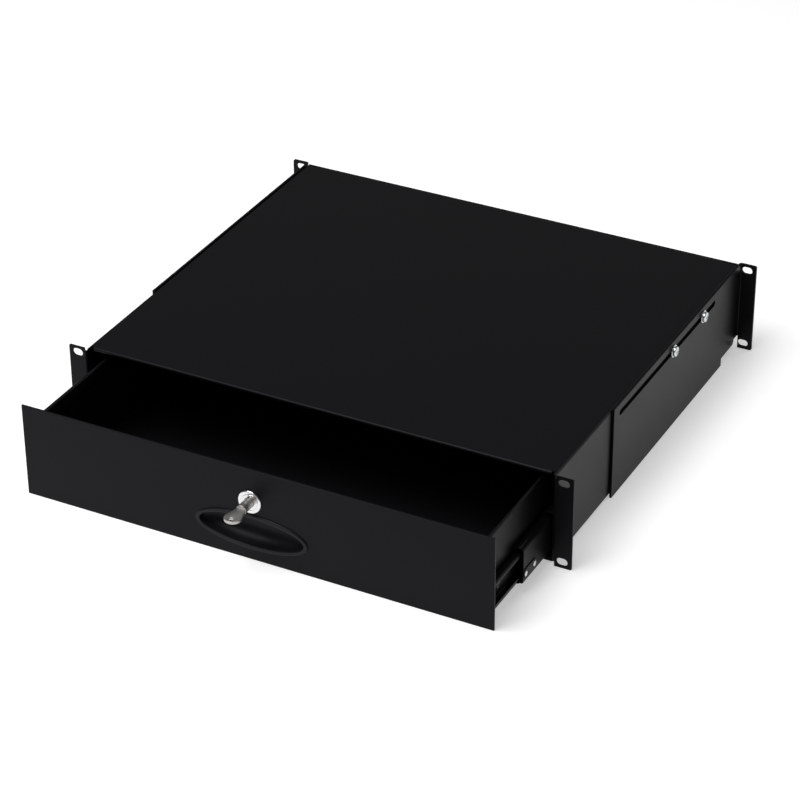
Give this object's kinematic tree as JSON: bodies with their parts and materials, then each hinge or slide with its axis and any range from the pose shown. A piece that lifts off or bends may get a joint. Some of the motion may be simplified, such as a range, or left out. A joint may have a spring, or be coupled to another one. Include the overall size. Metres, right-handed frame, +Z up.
{
  "type": "sliding rack drawer",
  "caption": "Lockable sliding rack drawer: folded steel housing with slotted ears, ball-bearing telescopic rails, tubular cam lock with key, oval finger pull and depth-adjustable rear brackets.",
  "frame": {"origin": "centre of the four front slots, on the front plane of the mounting ears, halfway up", "axes": "+X right as seen from the front, +Y from the ears into the rack, +Z up; the drawer stands partly open towards -Y"},
  "size_m": [0.4826, 0.5426, 0.0882],
  "materials": {
    "black_steel": "fine-textured black powder coat",
    "black_screws": "black zinc",
    "rail_steel": "black e-coat, semi-gloss",
    "cage_steel": "plain rolled",
    "ball_steel": "polished",
    "zinc": "bright zinc plate",
    "lock_chrome": "polished",
    "key_nickel": "satin nickel plate",
    "black_plastic": "fine-grained",
    "bumper_rubber": "matte"
  },
  "bodies": {
    "housing": {"housing_shell": "black_steel", "rear_panel": "black_steel", "rear_panel_screws": "black_screws", "lock_strike": "black_steel", "clamp_nuts": "zinc", "clamp_washers": "zinc", "clamp_screws": "zinc", "right_outer_rail": "rail_steel", "left_outer_rail": "rail_steel", "outer_rail_rivets": "zinc", "rail_bumpers": "bumper_rubber"},
    "drawer": {"drawer_tray": "black_steel", "front_panel": "black_steel", "panel_studs": "zinc", "panel_nuts": "zinc", "handle_cup": "black_plastic", "lock_barrel": "lock_chrome", "lock_washer": "zinc", "lock_nut": "zinc", "right_inner_rail": "rail_steel", "left_inner_rail": "rail_steel", "inner_rail_screws": "black_screws"},
    "right_middle_member": {"right_middle_rail": "rail_steel", "right_rail_catch": "rail_steel", "right_catch_rivets": "zinc"},
    "left_middle_member": {"left_middle_rail": "rail_steel", "left_rail_catch": "rail_steel", "left_catch_rivets": "zinc"},
    "right_outer_race": {"right_outer_cage": "cage_steel", "right_outer_balls": "ball_steel"},
    "left_outer_race": {"left_outer_cage": "cage_steel", "left_outer_balls": "ball_steel"},
    "right_inner_race": {"right_inner_cage": "cage_steel", "right_inner_balls": "ball_steel"},
    "left_inner_race": {"left_inner_cage": "cage_steel", "left_inner_balls": "ball_steel"},
    "lock_core": {"lock_plug": "lock_chrome", "lock_cam": "zinc", "cam_screw": "zinc"},
    "key": {"key": "key_nickel"},
    "right_bracket": {"right_rear_bracket": "black_steel"},
    "left_bracket": {"left_rear_bracket": "black_steel"}
  },
  "joints": [
    {"name": "drawer_slide", "type": "slide", "parent": "housing", "child": "drawer", "axis": [0, -1, 0], "range_m": [-0.1023, 0.2477]},
    {"name": "right_middle_slide", "type": "slide", "parent": "housing", "child": "right_middle_member", "axis": [0, -1, 0], "range_m": [-0.05115, 0.12385]},
    {"name": "left_middle_slide", "type": "slide", "parent": "housing", "child": "left_middle_member", "axis": [0, -1, 0], "range_m": [-0.05115, 0.12385]},
    {"name": "right_outer_race_slide", "type": "slide", "parent": "housing", "child": "right_outer_race", "axis": [0, -1, 0], "range_m": [-0.02558, 0.06193]},
    {"name": "left_outer_race_slide", "type": "slide", "parent": "housing", "child": "left_outer_race", "axis": [0, -1, 0], "range_m": [-0.02558, 0.06193]},
    {"name": "right_inner_race_slide", "type": "slide", "parent": "housing", "child": "right_inner_race", "axis": [0, -1, 0], "range_m": [-0.07673, 0.18577]},
    {"name": "left_inner_race_slide", "type": "slide", "parent": "housing", "child": "left_inner_race", "axis": [0, -1, 0], "range_m": [-0.07673, 0.18577]},
    {"name": "lock_turn", "type": "hinge", "parent": "drawer", "child": "lock_core", "pos_m": [0, -0.107, 0.0136], "axis": [0, 1, 0], "range_deg": [0, 90]},
    {"name": "key_withdraw", "type": "slide", "parent": "lock_core", "child": "key", "axis": [0, -1, 0], "range_m": [0, 0.0074]},
    {"name": "right_bracket_slide", "type": "slide", "parent": "housing", "child": "right_bracket", "axis": [0, 1, 0], "range_m": [-0.0255, 0.1135]},
    {"name": "left_bracket_slide", "type": "slide", "parent": "housing", "child": "left_bracket", "axis": [0, 1, 0], "range_m": [-0.0255, 0.1135]}
  ],
  "couplings": [
    {"joint": "right_middle_slide", "follows": "drawer_slide", "ratio": 0.5},
    {"joint": "left_middle_slide", "follows": "drawer_slide", "ratio": 0.5},
    {"joint": "right_outer_race_slide", "follows": "drawer_slide", "ratio": 0.25},
    {"joint": "left_outer_race_slide", "follows": "drawer_slide", "ratio": 0.25},
    {"joint": "right_inner_race_slide", "follows": "drawer_slide", "ratio": 0.75},
    {"joint": "left_inner_race_slide", "follows": "drawer_slide", "ratio": 0.75}
  ]
}
